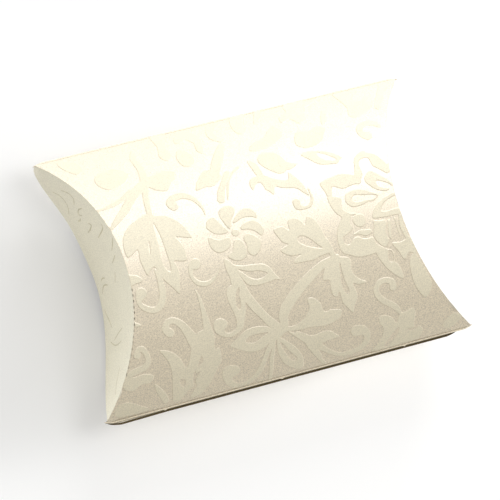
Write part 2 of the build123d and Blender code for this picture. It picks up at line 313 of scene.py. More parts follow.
        (-34.0, -1.5), (-32.0, -1.9), (-30.9, -3.0), (-31.2, -3.7), (-32.7, -3.8), (-34.4, -4.1),
    ),
    "left_leaf": (
        (-30.9, -20.4), (-29.0, -20.9), (-27.4, -22.1), (-26.3, -23.7), (-25.4, -26.1), (-24.3, -25.2),
        (-23.2, -26.0), (-24.1, -29.4), (-24.3, -31.4), (-25.7, -32.3), (-26.7, -33.3), (-28.2, -34.5),
        (-29.7, -34.3), (-29.5, -31.3), (-29.2, -28.8), (-29.0, -26.3), (-29.3, -23.8), (-30.1, -21.9),
    ),
    "small_leaf": (
        (-33.5, -28.3), (-32.7, -28.9), (-31.5, -30.7), (-30.7, -32.6), (-30.9, -33.9), (-31.9, -34.1),
        (-32.7, -32.2), (-33.4, -30.2),
    ),
    "low_leaf": (
        (-16.7, -23.4), (-16.7, -26.7), (-17.7, -28.1), (-19.0, -30.1), (-20.7, -32.4), (-22.7, -34.1),
        (-25.4, -34.7), (-25.0, -33.4), (-23.4, -31.4), (-21.7, -29.7), (-21.0, -27.9), (-22.2, -28.1),
        (-23.4, -28.3), (-23.0, -27.0), (-21.8, -26.3), (-20.0, -25.1), (-18.4, -24.1),
    ),
    "rise_leaf": (
        (-21.7, -19.1), (-19.7, -18.1), (-17.7, -18.4), (-17.3, -20.7), (-17.8, -23.4), (-17.0, -24.7),
        (-17.8, -26.9), (-18.9, -28.9), (-20.0, -30.1), (-21.7, -31.1), (-23.0, -32.1), (-23.7, -30.1),
        (-21.7, -27.4), (-21.0, -24.7), (-20.9, -22.1),
    ),
    "edge_tip": (
        (-35.5, -12.2), (-33.9, -13.2), (-34.1, -13.7), (-35.7, -13.3),
    ),
    "edge_low_leaf": (
        (-40.2, -25.0), (-37.7, -25.2), (-35.2, -25.1), (-33.3, -26.1), (-34.3, -27.6), (-36.7, -27.6),
        (-38.7, -28.6), (-40.9, -27.5),
    ),
    "edge_base": (
        (-43.7, -32.0), (-40.7, -31.1), (-37.7, -32.8), (-35.7, -34.8), (-43.1, -34.8),
    ),
    "corner_leaf": (
        (22.9, -26.6), (23.7, -26.1), (25.1, -26.4), (26.4, -27.4), (27.2, -28.9), (28.2, -27.1),
        (30.0, -26.6), (31.7, -26.2), (32.3, -27.3), (32.0, -28.8), (31.6, -31.0), (33.0, -31.4),
        (33.7, -32.6), (33.0, -34.2), (31.0, -35.2), (20.6, -35.3), (21.9, -33.4), (23.3, -31.4),
        (23.7, -29.4), (23.0, -28.0),
    ),
    "rim_leaf": (
        (33.0, -14.4), (32.7, -17.4), (33.0, -20.3), (34.0, -22.8), (35.2, -24.5), (36.7, -23.3),
        (37.4, -21.0), (36.4, -17.5), (35.6, -15.0), (34.5, -13.0),
    ),
    "rim_low_leaf": (
        (38.7, -32.9), (39.9, -31.5), (41.6, -30.4), (42.9, -30.6), (43.7, -32.0), (41.8, -33.7),
        (39.9, -34.3),
    ),
    "rim_mass": (
        (29.6, -9.4), (32.0, -9.6), (34.6, -9.0), (35.2, -11.4), (35.0, -13.4), (33.4, -12.6),
        (31.8, -14.0), (30.8, -11.8),
    ),
    "band_leaf_1": (
        (-34.3, 24.9), (-32.8, 26.6), (-29.8, 27.2), (-27.3, 26.2), (-26.2, 24.0), (-27.4, 22.1),
        (-29.3, 21.3), (-31.8, 21.0), (-33.8, 22.6),
    ),
    "band_leaf_2": (
        (-23.2, 19.8), (-21.6, 17.9), (-20.2, 17.1), (-18.6, 16.9), (-17.4, 18.4), (-15.9, 19.8),
        (-15.5, 21.7), (-17.9, 22.7), (-20.8, 22.1), (-23.2, 22.1),
    ),
    "band_leaf_3": (
        (-17.4, 35.3), (-16.9, 30.8), (-17.5, 27.4), (-16.1, 25.4), (-14.7, 26.5), (-15.0, 29.8),
        (-14.4, 32.7), (-13.7, 35.3),
    ),
    "band_hook": (
        (-12.6, 30.8), (-11.8, 33.1), (-9.9, 34.5), (-7.7, 33.6), (-6.3, 30.8), (-6.4, 27.6),
        (-7.2, 25.0), (-8.4, 26.4), (-8.3, 28.9), (-9.6, 31.0), (-11.0, 30.3),
    ),
    "band_leaf_4": (
        (-13.7, 25.6), (-12.6, 28.1), (-10.8, 27.2), (-9.7, 24.5), (-10.5, 22.3), (-12.9, 22.5),
    ),
    "band_leaf_5": (
        (3.0, 35.3), (2.1, 31.8), (2.5, 29.3), (3.9, 28.1), (5.1, 29.4), (5.1, 32.2), (6.4, 35.3),
    ),
    "band_leaf_7": (
        (3.6, 22.5), (6.5, 21.7), (9.4, 22.3), (11.9, 23.8), (13.1, 25.9), (11.6, 28.4), (9.9, 27.3),
        (8.5, 25.4), (5.9, 24.8),
    ),
    "band_leaf_8": (
        (16.8, 35.2), (16.3, 32.2), (14.0, 30.7), (14.2, 28.8), (16.4, 29.3), (18.2, 27.0),
        (20.1, 28.2), (20.5, 30.6), (21.6, 32.5), (24.5, 33.9), (23.9, 35.0),
    ),
    "band_leaf_9": (
        (14.9, 20.8), (15.9, 19.7), (17.3, 19.1), (19.5, 19.3), (21.3, 20.1), (22.2, 21.6),
        (23.4, 23.5), (21.8, 24.9), (19.4, 24.1), (16.8, 24.7), (15.3, 23.0),
    ),
    "band_mass": (
        (29.4, 34.9), (30.1, 31.4), (30.8, 28.4), (30.3, 25.7), (32.1, 24.5), (34.6, 25.1),
        (36.7, 26.9), (37.8, 29.7), (36.6, 31.2), (35.1, 30.0), (33.5, 30.9), (33.6, 33.1),
        (32.4, 34.8),
    ),
    "band_rim": (
        (38.2, 25.2), (39.7, 28.2), (41.4, 30.5), (43.2, 32.7), (44.2, 34.1), (41.8, 34.2),
        (40.1, 32.0), (38.6, 29.3), (37.3, 26.7),
    ),
    "band_leaf_10": (
        (-40.9, 34.1), (-38.4, 33.6), (-36.3, 31.8), (-35.8, 29.0), (-37.4, 27.9), (-39.2, 29.5),
        (-40.7, 31.8),
    ),
}

# The raised stems, each a line of points with half its width there.
RAISED_STEMS = {
    "hook": (
        (-18.6, 12.3, 1.10), (-19.1, 13.3, 1.10), (-18.3, 14.2, 0.93), (-16.7, 14.6, 0.83),
        (-15.1, 14.2, 0.77), (-13.6, 13.0, 0.60), (-12.6, 11.3, 0.43), (-12.1, 9.7, 0.30),
        (-12.1, 8.2, 0.10),
    ),
    "stem_bar": (
        (-3.7, 17.5, 0.73), (-5.2, 15.3, 0.67), (-6.6, 13.0, 0.87), (-7.3, 11.0, 0.90),
    ),
    "stem_bar_thin": (
        (-5.7, 10.6, 0.17), (-5.1, 12.6, 0.27), (-4.2, 15.0, 0.30), (-2.8, 17.0, 0.30),
        (-0.6, 18.4, 0.37),
    ),
    "small_hook": (
        (9.9, 5.8, 0.93), (9.9, 4.7, 0.80), (11.0, 4.1, 0.50), (12.5, 4.1, 0.40), (13.6, 5.1, 0.33),
        (13.9, 6.7, 0.27), (13.7, 8.4, 0.17),
    ),
    "far_curl": (
        (32.3, 18.4, 1.20), (31.2, 19.4, 0.90), (31.3, 21.1, 0.80), (33.1, 22.0, 0.80),
        (35.1, 21.5, 0.80), (36.2, 20.2, 0.50),
    ),
    "bow_strand": (
        (-3.1, -25.2, 0.23), (-3.8, -27.2, 0.43), (-4.6, -29.8, 0.57), (-5.0, -32.3, 0.53),
        (-5.6, -35.2, 0.43),
    ),
    "thick_stalk": (
        (-0.5, -23.2, 0.87), (-0.2, -21.5, 1.07), (0.0, -19.6, 1.27), (1.2, -17.8, 1.40),
        (3.3, -15.8, 1.37), (5.5, -14.1, 1.30), (8.2, -12.3, 1.23), (10.1, -11.2, 1.10),
        (12.1, -10.2, 0.93), (14.8, -9.5, 0.73), (15.8, -9.4, 0.67),
    ),
    "right_scroll": (
        (17.0, -28.3, 1.47), (18.5, -28.5, 1.20), (19.5, -29.9, 0.90), (19.2, -31.7, 0.80),
        (17.8, -33.0, 0.73), (15.8, -33.6, 0.67), (13.4, -33.7, 0.60), (11.5, -33.1, 0.57),
        (9.5, -31.7, 0.63), (7.5, -29.8, 0.80), (5.2, -27.3, 0.93), (2.5, -25.2, 0.73),
    ),
    "right_strand": (
        (4.2, -26.5, 0.73), (5.5, -29.3, 0.87), (6.8, -31.8, 0.80), (8.2, -34.7, 0.50),
    ),
    "flower_stem": (
        (14.4, -4.8, 0.27), (14.8, -6.8, 0.47), (14.8, -8.3, 0.67), (15.3, -9.8, 0.73),
    ),
    "stamen_1": (
        (30.4, -4.2, 0.40), (29.9, -6.5, 0.43), (29.7, -8.1, 0.27),
    ),
    "stamen_2": (
        (31.9, -3.8, 0.20), (32.0, -6.2, 0.20), (32.1, -8.3, 0.17),
    ),
    "stamen_3": (
        (33.3, -3.5, 0.40), (33.1, -6.2, 0.53), (33.7, -9.0, 0.47),
    ),
    "ball_scroll": (
        (-32.0, -6.3, 1.40), (-33.0, -8.1, 0.63), (-32.1, -9.7, 0.73), (-30.0, -10.8, 0.77),
        (-28.3, -10.1, 0.87), (-27.2, -8.1, 0.90), (-26.9, -5.7, 0.80), (-27.0, -3.5, 0.60),
        (-27.4, -1.7, 0.30),
    ),
    "curl": (
        (-17.8, -2.7, 1.33), (-19.0, -3.3, 0.73), (-19.4, -5.2, 0.47), (-18.5, -7.0, 0.60),
        (-16.7, -7.8, 0.60), (-14.9, -7.4, 0.47), (-13.4, -6.2, 0.27), (-12.1, -4.6, 0.10),
    ),
    "left_scroll": (
        (-27.6, -16.9, 1.07), (-28.4, -15.7, 0.93), (-27.5, -14.3, 0.80), (-25.9, -14.4, 0.80),
        (-24.4, -15.8, 0.90), (-23.4, -17.8, 1.13), (-22.5, -20.1, 1.40), (-22.0, -22.1, 1.53),
        (-22.9, -24.4, 1.33), (-24.0, -26.7, 1.20),
    ),
    "tulip_stem": (
        (-19.5, -8.4, 0.10), (-19.0, -10.1, 0.30), (-18.8, -12.1, 0.50), (-18.7, -14.4, 0.67),
        (-18.6, -16.7, 0.90), (-18.7, -19.1, 1.13), (-18.9, -21.6, 1.40), (-19.7, -24.1, 1.60),
    ),
    "edge_scroll": (
        (-36.3, -20.2, 0.90), (-35.9, -19.1, 0.70), (-34.9, -18.9, 0.70), (-34.1, -20.3, 0.65),
        (-34.0, -22.3, 0.70), (-35.2, -23.5, 0.80), (-37.0, -23.9, 0.85), (-39.3, -24.5, 0.80),
    ),
    "s_scroll": (
        (27.7, -19.8, 0.93), (27.6, -18.5, 0.83), (26.2, -17.7, 0.70), (24.5, -17.9, 0.73),
        (23.4, -19.4, 0.73), (23.8, -21.3, 0.77), (25.1, -22.8, 0.80), (26.7, -24.1, 0.80),
        (27.8, -25.3, 0.73), (28.5, -26.8, 0.40),
    ),
    "branch": (
        (-34.6, 10.4, 0.30), (-32.2, 12.5, 0.80), (-29.8, 14.6, 1.00), (-27.6, 17.0, 1.10),
        (-25.6, 18.8, 1.20), (-22.8, 20.5, 1.40),
    ),
    "thin_branch": (
        (-35.9, 16.0, 0.30), (-32.8, 16.4, 0.50), (-29.8, 17.4, 0.60), (-27.0, 19.0, 0.70),
    ),
    "apex_stem": (
        (-24.7, 11.7, 0.70), (-24.4, 15.3, 0.70), (-23.8, 18.2, 0.80), (-23.1, 21.1, 1.00),
        (-22.9, 25.0, 0.90), (-23.5, 28.8, 0.80), (-22.9, 31.5, 0.40),
    ),
    "band_stem": (
        (-7.1, 17.4, 1.00), (-6.1, 19.2, 1.20), (-4.7, 21.7, 1.30), (-3.4, 24.1, 1.10),
        (-2.0, 26.4, 0.70),
    ),
    "band_curl": (
        (-1.6, 27.9, 0.80), (-3.1, 29.5, 1.00), (-3.4, 31.8, 1.00), (-2.1, 33.5, 0.90),
        (0.2, 34.5, 0.50),
    ),
    "band_leaf_6": (
        (8.0, 31.0, 0.40), (9.0, 32.8, 0.70), (10.1, 35.3, 0.80),
    ),
    "band_sprig": (
        (23.4, 25.1, 0.40), (24.3, 27.1, 0.80), (24.9, 29.2, 0.50),
    ),
}

# Hollows in the leaves, as closed outlines.
SUNK_EYES = {
    "eye_leaf_slot": (
        (18.8, 17.0), (19.9, 16.6), (21.3, 15.6), (22.8, 14.2), (22.1, 13.9), (20.5, 14.5),
        (19.2, 15.6),
    ),
    "lobed_leaf_slot": (
        (7.5, -3.0), (8.2, -2.4), (9.5, -2.8), (10.7, -3.9), (11.7, -5.2), (12.8, -6.4), (11.3, -6.0),
        (9.4, -5.1), (7.9, -4.0),
    ),
    "pinwheel_leaf_slot": (
        (-8.3, -6.4), (-7.1, -7.0), (-5.5, -7.6), (-3.6, -7.9), (-2.1, -8.6), (-1.7, -9.0),
        (-3.1, -9.7), (-4.8, -9.6), (-6.1, -8.8), (-7.3, -7.5),
    ),
    "j_hook_slot": (
        (-9.2, -10.6), (-10.0, -11.7), (-10.5, -13.2), (-10.6, -14.7), (-10.2, -15.6), (-9.7, -15.0),
        (-9.6, -13.5), (-9.6, -12.3), (-9.3, -11.5),
    ),
    "bow_left_slot": (
        (-10.2, -23.5), (-9.4, -22.8), (-7.7, -22.6), (-6.1, -22.7), (-4.5, -22.9), (-5.5, -23.3),
        (-6.7, -23.9), (-8.0, -24.4), (-9.4, -24.2),
    ),
    "hanging_leaf_slot": (
        (-1.9, -26.2), (-0.9, -27.4), (0.0, -29.1), (1.2, -30.6), (1.6, -31.4), (1.0, -31.9),
        (0.0, -31.2), (-0.8, -29.6), (-1.5, -28.0),
    ),
    "trident_slot": (
        (16.0, -10.8), (15.7, -13.0), (15.4, -15.1), (15.6, -17.3), (16.3, -18.6), (16.9, -18.0),
        (16.4, -16.0), (16.1, -13.5),
    ),
    "flower_eye_slot": (
        (23.1, 3.3), (23.9, 4.0), (25.7, 3.6), (27.7, 3.2), (29.2, 2.6), (28.0, 2.1), (26.3, 2.2),
        (24.3, 2.2), (23.4, 2.6),
    ),
    "flower_inner_slot": (
        (30.2, 6.2), (31.2, 5.9), (32.2, 5.3), (33.2, 4.5), (33.6, 3.3), (32.2, 3.8), (31.1, 4.2),
        (30.2, 5.1),
    ),
    "flower_right_slot": (
        (29.2, -1.3), (29.7, -0.3), (30.8, 0.7), (32.2, 1.2), (34.2, 1.4), (34.2, -1.3), (32.3, -1.5),
        (30.7, -1.7),
    ),
    "tail_loop": (
        (28.4, -11.0), (29.0, -11.1), (29.3, -12.2), (29.1, -13.5), (28.6, -13.8), (28.0, -13.1),
        (28.1, -11.9),
    ),
    "tulip_slot": (
        (-24.6, 9.4), (-24.8, 6.4), (-25.0, 3.2), (-25.2, 0.2), (-24.8, -2.0), (-24.0, -3.0),
        (-23.6, -1.7), (-23.7, 1.5), (-23.8, 4.7), (-24.1, 7.4),
    ),
    "left_leaf_slot": (
        (-27.3, -29.0), (-26.3, -29.0), (-26.1, -30.3), (-26.7, -30.9), (-27.3, -30.1),
    ),
    "corner_leaf_slot": (
        (27.7, -30.4), (27.4, -31.7), (26.0, -33.3), (24.3, -34.8), (23.6, -34.4), (25.2, -32.3),
        (26.6, -30.9),
    ),
}

# Hollow lines in the leaves and stems, each with half its width.
SUNK_VEINS = {
    "right_strand_slot": (
        (7.8, -32.8, 0.13), (8.3, -33.5, 0.27), (8.7, -34.3, 0.23),
    ),
    "tulip_vein": (
        (-26.9, 5.2, 0.07), (-27.2, 3.9, 0.17), (-27.5, 2.2, 0.07),
    ),
    "corner_leaf_vein": (
        (30.0, -31.5, 0.15), (31.0, -31.8, 0.25), (32.2, -31.5, 0.15),
    ),
}

# Faint sunk lines on a flap, across the end and then up the flap, each with half its width.
FLAP_MARKS = {
    "hook": (
        (18.5, 4.8, 0.02), (18.8, 2.8, 0.08), (18.4, 1.3, 0.10), (17.8, 1.2, 0.08), (17.3, 2.4, 0.02),
    ),
    "hook_foot": ((17.0, 0.6, 0.03), (16.8, -0.4, 0.10), (17.0, -1.7, 0.02)),
    "short_stroke": ((15.0, 3.2, 0.02), (14.2, 4.4, 0.08), (13.6, 2.6, 0.11), (13.4, 0.0, 0.03)),
    "long_stroke": ((12.8, 10.3, 0.02), (11.9, 10.2, 0.08), (11.4, 8.6, 0.11), (10.8, 4.6, 0.03)),
    "edge_stroke": ((8.4, 13.0, 0.02), (7.4, 11.5, 0.09), (6.2, 9.4, 0.03)),
    "edge_hook": ((4.8, 10.2, 0.02), (4.3, 8.8, 0.08), (3.8, 6.8, 0.02)),
    "middle_stroke": ((1.5, 6.4, 0.02), (0.5, 5.6, 0.07), (-0.6, 4.4, 0.02)),
    "first_curl": ((2.1, -1.6, 0.02), (2.4, -3.2, 0.08), (2.1, -4.6, 0.02)),
    "second_curl": ((0.2, -1.0, 0.02), (0.7, -3.2, 0.08), (0.3, -5.0, 0.07), (-0.8, -6.2, 0.02)),
    "third_curl": ((-4.4, -7.4, 0.02), (-6.0, -6.8, 0.06), (-7.6, -5.4, 0.07), (-9.6, -4.2, 0.02)),
    "rising_arc": ((-12.8, -3.0, 0.02), (-12.0, 0.2, 0.06), (-11.4, 3.8, 0.02)),
    "sinking_arc": ((-12.6, -6.2, 0.02), (-14.3, -2.0, 0.06), (-14.2, 2.6, 0.02)),
    "worn_leaf": ((24.6, 1.2, 0.02), (23.0, 3.6, 0.05), (21.4, 4.0, 0.06), (20.4, 2.2, 0.02)),
    "worn_vein": ((25.6, -3.4, 0.02), (23.6, -1.4, 0.05), (21.2, -1.8, 0.05), (19.6, -4.2, 0.02)),
    "foot_line": ((-20.2, 1.6, 0.02), (-23.4, 0.4, 0.05), (-26.2, 1.4, 0.02)),
}

# The free edge of an outer flap, across the end and up the flap.
OUTER_EDGE = (
    (31.75, -0.6), (31.3, -2.8), (29.8, -5.0), (27.0, -7.0), (23.0, -8.0), (18.0, -8.3), (10.0, -9.2),
    (0.0, -9.0), (-9.0, -10.1), (-16.0, -10.9), (-21.0, -10.1), (-25.0, -7.8), (-28.2, -4.6),
    (-30.4, -1.4), (-31.6, 0.4),
)


def rounded_path(points, closed, parts=5):
    """Points along a smooth curve through the given ones."""
    p = np.array(points, float)
    count = len(p)
    if closed:
        around = [np.roll(p, shift, axis=0) for shift in (1, 0, -1, -2)]
    else:
        padded = np.vstack([p[:1], p, p[-1:]])
        around = [padded[k : k + count - 1] for k in range(4)]
        around[3] = np.vstack([padded[3:], p[-1:]])[: count - 1]
    before, here, after, beyond = around
    curve = []
    for k in range(parts):
        t = k / parts
        curve.append(
            here
            + (after - before) * t / 2
            + (before - 2.5 * here + 2 * after - beyond / 2) * t**2
            + (1.5 * (here - after) + (beyond - before) / 2) * t**3
        )
    path = np.stack(curve, axis=1).reshape(-1, p.shape[1])
    return path if closed else np.vstack([path, p[-1:]])


def inside_path(x, y, path):
    """Whether points lie inside a closed outline."""
    inside = np.zeros(x.shape, bool)
    for a, b in zip(path, np.roll(path, -1, axis=0)):
        near = (a[1] > y) != (b[1] > y)
        inside ^= near & (x < a[0] + (y - a[1]) * (b[0] - a[0]) / (b[1] - a[1] + TINY))
    return inside


def distance_to_path(x, y, path, closed):
    """Distance from points to an outline, negative inside it, or to the side of a tapering stem."""
    nearest = np.full(x.shape, np.inf)
    following = np.roll(path, -1, axis=0) if closed else path[1:]
    for a, b in zip(path, following):
        run_x, run_y = b[0] - a[0], b[1] - a[1]
        away_x, away_y = x - a[0], y - a[1]
        share = (away_x * run_x + away_y * run_y) / (run_x**2 + run_y**2 + TINY)
        share = np.minimum(np.maximum(share, 0), 1)
        gap = np.sqrt((away_x - share * run_x) ** 2 + (away_y - share * run_y) ** 2)
        nearest = np.minimum(nearest, gap if closed else gap - (a[2] + share * (b[2] - a[2])))
    return np.where(inside_path(x, y, path), -nearest, nearest) if closed else nearest


def even_steps(points, closed, step):
    """The same line with evenly spaced points."""
    if closed:
        points = np.vstack([points, points[:1]])
    lengths = np.concatenate([[0], np.cumsum(np.hypot(*np.diff(points, axis=0).T))])
    count = max(3, int(round(lengths[-1] / step)))
    at = np.linspace(0, lengths[-1], count + 1)
    line = np.stack([np.interp(at, lengths, points[:, k]) for k in (0, 1)], axis=1)
    return line[:-1] if closed else line


def depth_inside(points, border):
    """How far points lie inside a closed border, and zero outside it."""
    line = even_steps(border, True, RIM_STEP)
    tree = KDTree(len(line))
    for k, (x, y) in enumerate(line):
        tree.insert((x, y, 0), k)
    tree.balance()
    gaps = np.array([tree.find((x, y, 0))[2] for x, y in points])
    return np.where(inside_path(points[:, 0], points[:, 1], border), gaps, 0)


PATTERN = [
    (raised, closed, [rounded_path(points, closed) for points in shapes.values()])
    for raised, closed, shapes in (
        (True, True, RAISED_LEAVES),
        (True, False, RAISED_STEMS),
        (False, True, SUNK_EYES),
        (False, False, SUNK_VEINS),
    )
]
FLAP_STROKES = [rounded_path(points, False) for points in FLAP_MARKS.values()]


def ornament(x, y):
    """Distance from points of the flat card to the raised pattern, negative on it."""
    shape = x.shape
    x, y = x.ravel(), y.ravel()
    found = np.full(x.shape, FAR)
    for raised, closed, paths in PATTERN:
        for path in paths:
            margin = FAR + (0 if closed else path[:, 2].max())
            low, high = path[:, :2].min(0) - margin, path[:, :2].max(0) + margin
            near = np.nonzero((x > low[0]) & (x < high[0]) & (y > low[1]) & (y < high[1]))[0]
            if not len(near):
                continue
            gap = distance_to_path(x[near], y[near], path, closed)
            found[near] = np.minimum(found[near], gap) if raised else np.maximum(found[near], -gap)
    return found.reshape(shape)


def flap_pattern(y, w):
    """The flaps are plain but for the faint lines where parts of the pattern cross the crease."""
    gap = np.full(y.shape, FAR)
    for path in FLAP_STROKES:
        gap = np.minimum(gap, distance_to_path(y, w, path, False))
    return -gap


def contour_chains(field, level):
    """Chains of points, in grid steps, where a sampled field crosses a level, and whether each closes."""
    flags = field < level
    below = flags.tolist()
    mixed_cells = (flags[:-1, :-1] != flags[1:, :-1]) | (flags[:-1, :-1] != flags[:-1, 1:])
    mixed_cells |= flags[:-1, :-1] != flags[1:, 1:]
    links = {}
    for i, j in zip(*[index.tolist() for index in np.nonzero(mixed_cells)]):
        corners = (below[i][j], below[i + 1][j], below[i + 1][j + 1], below[i][j + 1])
        sides = ((0, i, j), (1, i + 1, j), (0, i, j + 1), (1, i, j))
        cut = [side for k, side in enumerate(sides) if corners[k] != corners[(k + 1) % 4]]
        for one, other in zip(cut[::2], cut[1::2]):
            links.setdefault(one, []).append(other)
            links.setdefault(other, []).append(one)
    chains = []
    open_ends = [side for side, near in links.items() if len(near) == 1]
    for start in open_ends + list(links):
        if start not in links:
            continue
        chain, here = [start], start
        while True:
            near = links.pop(here)
            onward = [side for side in near if side in links]
            if not onward:
                break
            here = onward[0]
            chain.append(here)
        points = []
        for along, i, j in chain:
            first = field[i, j]
            second = field[i, j + 1] if along else field[i + 1, j]
            share = (level - first) / (second - first)
            points.append((i, j + share) if along else (i + share, j))
        chains.append((np.array(points), len(chain) > 3 and start in near))
    return chains


def inset(border, amount):
    """A closed border, counter-clockwise, moved inwards."""
    back, onward = np.roll(border, 1, axis=0), np.roll(border, -1, axis=0)

    def inward(run):
        run = run / (np.linalg.norm(run, axis=1)[:, None] + TINY)
        return np.stack([-run[:, 1], run[:, 0]], axis=1)

    one, other = inward(border - back), inward(onward - border)
    middle = one + other
    middle /= np.linalg.norm(middle, axis=1)[:, None] + TINY
    stretch = np.clip((middle * one).sum(axis=1), LEAST_COSINE, 1)
    return border + middle * (np.broadcast_to(amount, len(border)) / stretch)[:, None]


def loop_edges(first, count):
    """The edges of a closed line of points."""
    return [(first + k, first + (k + 1) % count) for k in range(count)]


def fill_points(border, step):
    """Staggered points inside a border, half a step clear of it."""
    low, high = border.min(0), border.max(0)
    points = []
    for k, y in enumerate(np.arange(low[1], high[1], step * ROW_SHARE)):
        x = np.arange(low[0] + (k % 2) * step / 2, high[0], step)
        points.append(np.stack([x, np.full(len(x), y)], axis=1))
    points = np.vstack(points)
    return points[depth_inside(points, border) > step / 2]


def triangulate(points, edges, ring):
    """Triangles inside the ring, which is the first points, and the point behind each vertex."""
    made = delaunay_2d_cdt([Vector(p) for p in points], edges, [], INSIDE_ONLY, MERGE_WITHIN, True)
    places = np.array([tuple(v) for v in made[0]])
    sources = [origin[0] if origin else -1 for origin in made[3]]
    triangles = np.array(made[2])
    middles = places[triangles].mean(axis=1)
    return places, triangles[inside_path(middles[:, 0], middles[:, 1], ring)], sources


def ring_places(sources, count):
    """Which vertex each of the ring's points has become."""
    places = np.full(count, -1)
    for k, source in enumerate(sources):
        if 0 <= source < count:
            places[source] = k
    return places


def pressed_face(border, ring, pattern):
    """A sheet's face, divided along its pattern's slopes: vertices, triangles, distances and its ring."""
    low, high = border.min(0) - SAMPLE_STEP, border.max(0) + SAMPLE_STEP
    grid = [np.arange(low[k], high[k], SAMPLE_STEP) for k in (0, 1)]
    field = pattern(*np.meshgrid(*grid, indexing="ij"))
    points, edges, levels = [ring], loop_edges(0, len(ring)), [None] * len(ring)
    for level in SLOPE_LEVELS:
        for chain, closed in contour_chains(field, level):
            line = even_steps(chain * SAMPLE_STEP + low, closed, OUTLINE_STEP)
            line_edges = loop_edges(len(levels), len(line))
            edges += line_edges if closed else line_edges[:-1]
            levels += [level] * len(line)
            points.append(line)
    points = np.vstack(points)
    kept = depth_inside(points, ring) > CLEAR_OF_RIM
    kept[: len(ring)] = True
    renumber = np.cumsum(kept) - 1
    edges = [(renumber[a], renumber[b]) for a, b in edges if kept[a] and kept[b]]
    levels = [level for level, keep in zip(levels, kept) if keep]
    fill = fill_points(ring, FILL_STEP)
    gaps = pattern(fill[:, 0], fill[:, 1])
    fill = fill[(gaps > SLOPE_LEVELS[0] + CLEAR_OF_SLOPE) | (gaps < SLOPE_LEVELS[-1] - CLEAR_OF_SLOPE)]
    levels += [None] * len(fill)
    face, triangles, sources = triangulate(np.vstack([points[kept], fill]), edges, ring)
    gaps = pattern(face[:, 0], face[:, 1])
    for k, source in enumerate(sources):
        if source >= 0 and levels[source] is not None:
            gaps[k] = levels[source]
    return face, triangles, gaps, ring_places(sources, len(ring))


def plain_lining(ring):
    """A sheet's plain lining: vertices, triangles and its ring."""
    points = np.vstack([ring, fill_points(ring, LINING_STEP)])
    lining, triangles, sources = triangulate(points, loop_edges(0, len(ring)), ring)
    return lining, triangles, ring_places(sources, len(ring))


def card_sheet(name, border, place, outward, pattern, relief, undercut, materials):
    """Embossed card with its cut rim and lining. place says where a point of the sheet lies."""
    face, triangles, gaps, face_ring = pressed_face(border, inset(border, RIM_ROUND), pattern)
    lining, lining_triangles, lining_ring = plain_lining(inset(border, undercut + RIM_ROUND))
    height = relief * (np.interp(gaps, SLOPE_LEVELS[::-1], SLOPE_SHARES[::-1]) - 1)
    lower = inset(border, undercut * (1 - RIM_ROUND / CARD))
    rows = [
        place(face[:, 0], face[:, 1], height),
        place(border[:, 0], border[:, 1], height[face_ring] - RIM_ROUND),
        place(lower[:, 0], lower[:, 1], np.full(len(lower), RIM_ROUND - CARD)),
        place(lining[:, 0], lining[:, 1], np.full(len(lining), -CARD)),
    ]
    vertices = np.vstack([np.stack(row, axis=1) for row in rows])
    first = np.cumsum([0] + [len(row[0]) for row in rows])
    count = len(border)
    rings = [face_ring, first[1] + np.arange(count), first[2] + np.arange(count), first[3] + lining_ring]
    faces = [tuple(t) for t in triangles]
    kinds = [FACE] * len(faces)
    for upper, under, kind in zip(rings, rings[1:], (FACE, RIM, LINING)):
        for k in range(count):
            n = (k + 1) % count
            faces.append((upper[k], under[k], under[n], upper[n]))
            kinds.append(kind)
    faces += [tuple(first[3] + v for v in reversed(t)) for t in lining_triangles]
    kinds += [LINING] * len(lining_triangles)

    a, b, c = (vertices[triangles[:, k]] for k in range(3))
    if (np.cross(b - a, c - a).sum(axis=0) @ np.array(outward)) < 0:
        faces = [tuple(reversed(f)) for f in faces]
    raised = np.zeros(len(vertices))
    raised[: len(face)] = np.interp(gaps, MATTE_FROM, (1, 0))
    return make_piece(name, vertices, faces, kinds, raised, materials)


def make_piece(name, vertices, faces, kinds, raised, materials):
    """A mesh object from millimetre vertices, with one material for each kind of face."""
    mesh = bpy.data.meshes.new(name)
    mesh.from_pydata((vertices * MM).tolist(), [], [tuple(int(v) for v in f) for f in faces])
    for material in materials:
        mesh.materials.append(material)
    mesh.polygons.foreach_set("material_index", kinds)
    attribute = mesh.attributes.new("raised", "FLOAT", "POINT")
    attribute.data.foreach_set("value", raised.astype(np.float32))
    piece = bpy.data.objects.new(name, mesh)
    bpy.context.scene.collection.objects.link(piece)
    bpy.ops.object.select_all(action="DESELECT")
    piece.select_set(True)
    bpy.context.view_layer.objects.active = piece
    bpy.ops.object.shade_smooth_by_angle(angle=SMOOTH_ANGLE)
    piece.select_set(False)
    return piece


def crown(y):
    """Height of a panel's face over the middle plane."""
    return np.sqrt(CROWN_RADIUS**2 - y**2) - AXIS_DEPTH


def across(y):
    """Distance along the curved panel from the crown line."""
    return CROWN_RADIUS * np.arcsin(y / CROWN_RADIUS)


def on_upper(x, s, height):
    """Where a point of the flat upper panel lies: along the box, across it, and out of its face."""
    turn, radius = s / CROWN_RADIUS, CROWN_RADIUS + height
    return x, radius * np.sin(turn), MIDDLE - AXIS_DEPTH + radius * np.cos(turn)


def on_lower(x, s, height):
    """The same for the lower panel, which droops towards its cut edge."""
    x, y, z = on_upper(x, s, height)
    t = np.clip((DROOP_REACH - LOWER_CUT - y) / DROOP_REACH, 0, 1)
    return x, y, 2 * MIDDLE - z - LOWER_DROOP * t**2 * (3 - 2 * t)


def scuff(y):
    """How far the flap's card has burst through the panel's edge at a worn place of the crease."""
    return SCUFF_SIZE * np.clip((SCUFF_FLAT + SCUFF_FADE - np.abs(y - SCUFF_AT)) / SCUFF_FADE, 0, 1)


